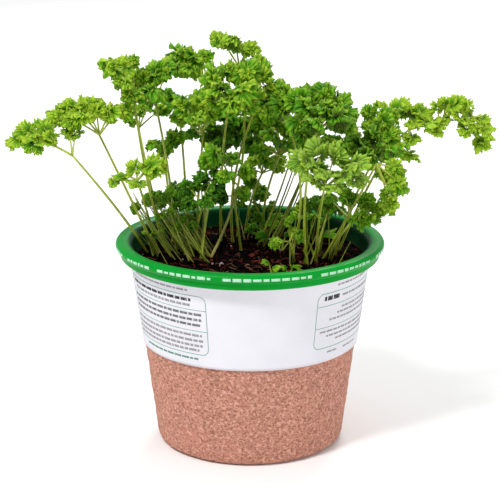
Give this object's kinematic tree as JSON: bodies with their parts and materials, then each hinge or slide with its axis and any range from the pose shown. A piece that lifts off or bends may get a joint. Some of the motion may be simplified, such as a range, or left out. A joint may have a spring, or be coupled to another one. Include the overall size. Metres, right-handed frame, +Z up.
{
  "type": "potted parsley",
  "caption": "Curly parsley plant growing in potting soil in a round moulded-fibre herb pot with a printed paper wrap over its rolled rim.",
  "frame": {"origin": "centre of the pot's flat base, on the surface it stands on", "axes": "+Z up along the pot's axis; -Y is the front, where bare soil shows; +X to the right seen from the front, along the plant's widest spread"},
  "size_m": [0.2276, 0.1409, 0.195],
  "materials": {
    "moulded_fibre": "rough pressed fibre, speckled pinkish brown",
    "printed_paper": "matt white paper with a bright green printed band over the rim and plain grey bars in place of printing",
    "potting_soil": "damp dark peat with reddish bark fibres",
    "stalk": "ribbed satin yellow-green stem",
    "leaf": "satin curled green leaf, lighter beneath"
  },
  "bodies": {
    "root": {"pot": "moulded_fibre", "printed_wrap": "printed_paper", "soil": "potting_soil", "far_left_stalk": "stalk", "far_left_blade": "leaf", "left_stalk": "stalk", "left_blade": "leaf", "upper_left_stalk": "stalk", "upper_left_blade": "leaf", "left_behind_stalk": "stalk", "left_behind_blade": "leaf", "upper_left_inner_stalk": "stalk", "upper_left_inner_blade": "leaf", "pointed_left_stalk": "stalk", "pointed_left_blade": "leaf", "dark_mid_left_stalk": "stalk", "dark_mid_left_blade": "leaf", "dark_back_left_stalk": "stalk", "dark_back_left_blade": "leaf", "crown_left_stalk": "stalk", "crown_left_blade": "leaf", "inner_left_stalk": "stalk", "inner_left_blade": "leaf", "low_left_dark_stalk": "stalk", "low_left_dark_blade": "leaf", "low_left_shoot_stalk": "stalk", "low_left_shoot_blade": "leaf", "crown_stalk": "stalk", "crown_blade": "leaf", "crown_front_stalk": "stalk", "crown_front_blade": "leaf", "crown_right_stalk": "stalk", "crown_right_blade": "leaf", "centre_dark_stalk": "stalk", "centre_dark_blade": "leaf", "centre_low_stalk": "stalk", "centre_low_blade": "leaf", "yellow_stalk": "stalk", "yellow_blade": "leaf", "back_low_stalk": "stalk", "back_low_blade": "leaf", "right_inner_stalk": "stalk", "right_inner_blade": "leaf", "right_upper_stalk": "stalk", "right_upper_blade": "leaf", "right_broad_stalk": "stalk", "right_broad_blade": "leaf", "pale_stalk": "stalk", "pale_blade": "leaf", "right_dark_stalk": "stalk", "right_dark_blade": "leaf", "right_low_stalk": "stalk", "right_low_blade": "leaf", "right_droop_stalk": "stalk", "right_droop_blade": "leaf", "far_right_stalk": "stalk", "far_right_blade": "leaf", "sprout_stalk": "stalk", "sprout_blade": "leaf", "outer_right_blade": "leaf"}
  },
  "joints": []
}
